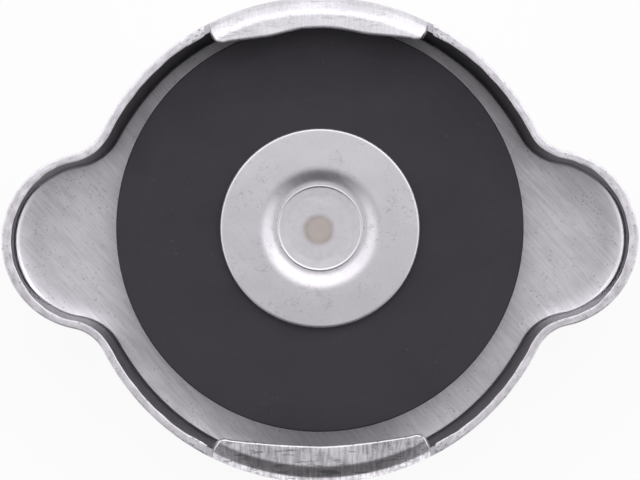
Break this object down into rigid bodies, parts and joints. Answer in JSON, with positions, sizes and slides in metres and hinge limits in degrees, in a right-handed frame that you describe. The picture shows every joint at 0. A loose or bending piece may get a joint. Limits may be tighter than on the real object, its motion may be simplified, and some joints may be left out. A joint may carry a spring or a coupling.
{
  "type": "radiator cap",
  "caption": "Eared bayonet radiator cap of pressed steel with a sprung, floating rubber seal on a centre pin. It locks on and seals a coolant filler neck.",
  "frame": {"origin": "middle of the crown's outer face, on the surface the cap lies on with its seal up", "axes": "+Z out of the cap towards the filler neck, +X along the ears, +Y along the bayonet tabs"},
  "size_m": [0.0602, 0.046, 0.0122],
  "materials": {
    "shell_steel": "brushed stainless sheet with sheared edges",
    "plated_steel": "zinc plated pressed sheet",
    "spring_wire": "drawn spring wire",
    "seal_rubber": "matt moulded rubber",
    "plate_steel": "fine brushed pressed sheet",
    "pin_steel": "turned and peened steel"
  },
  "bodies": {
    "cap": {"cap_shell": "shell_steel"},
    "slip": {"slip_washer": "plated_steel"},
    "spring": {"cone_spring": "spring_wire"},
    "seal": {"backing_plate": "plated_steel", "rubber_seal": "seal_rubber", "centre_plate": "plate_steel", "centre_pin": "pin_steel", "pin_washer": "plated_steel"}
  },
  "joints": [
    {"name": "seal_float", "type": "slide", "parent": "cap", "child": "slip", "axis": [0, -1, 0], "range_m": [0, 0.00226]},
    {"name": "seal_swivel", "type": "hinge", "parent": "slip", "child": "spring", "pos_m": [0, 0.00113, 0.0013], "axis": [0, 0, 1], "continuous": true},
    {"name": "seal_press", "type": "slide", "parent": "spring", "child": "seal", "axis": [0, 0, -1], "range_m": [0, 0.0016], "stiffness_N_per_m": 9000, "deforming": ["cone_spring"]}
  ]
}
